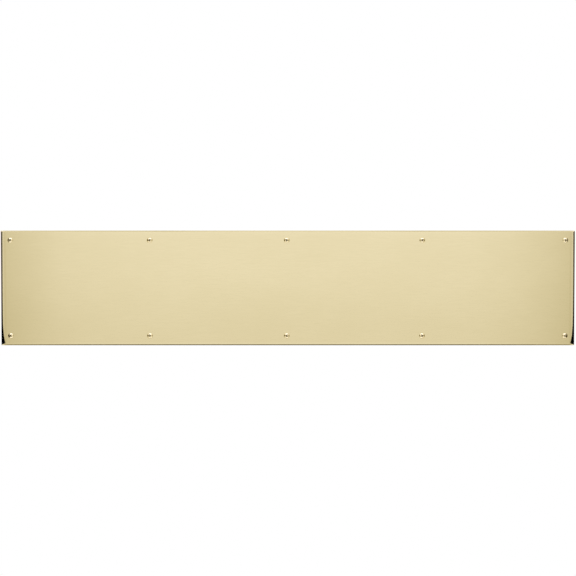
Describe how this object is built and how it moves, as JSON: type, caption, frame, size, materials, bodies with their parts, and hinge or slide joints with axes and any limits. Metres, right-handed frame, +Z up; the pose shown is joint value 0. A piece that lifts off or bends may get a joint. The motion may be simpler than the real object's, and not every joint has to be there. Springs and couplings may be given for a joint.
{
  "type": "kick plate",
  "caption": "Long flat polished brass door kick plate with bevelled edges, fixed by oval head cross recess wood screws in countersunk seats along its two long edges.",
  "frame": {"origin": "middle of the plate's back face, the face that lies on the door", "axes": "+X along the plate's length, +Z up, +Y out of the back face into the door, so the polished front faces -Y"},
  "size_m": [0.762, 0.0169, 0.1524],
  "materials": {
    "plate_brass": "polished and lacquered",
    "screw_brass": "polished"
  },
  "bodies": {
    "root": {"plate": "plate_brass", "screw_top_1": "screw_brass", "screw_top_2": "screw_brass", "screw_top_3": "screw_brass", "screw_top_4": "screw_brass", "screw_top_5": "screw_brass", "screw_bottom_1": "screw_brass", "screw_bottom_2": "screw_brass", "screw_bottom_3": "screw_brass", "screw_bottom_4": "screw_brass", "screw_bottom_5": "screw_brass"}
  },
  "joints": []
}
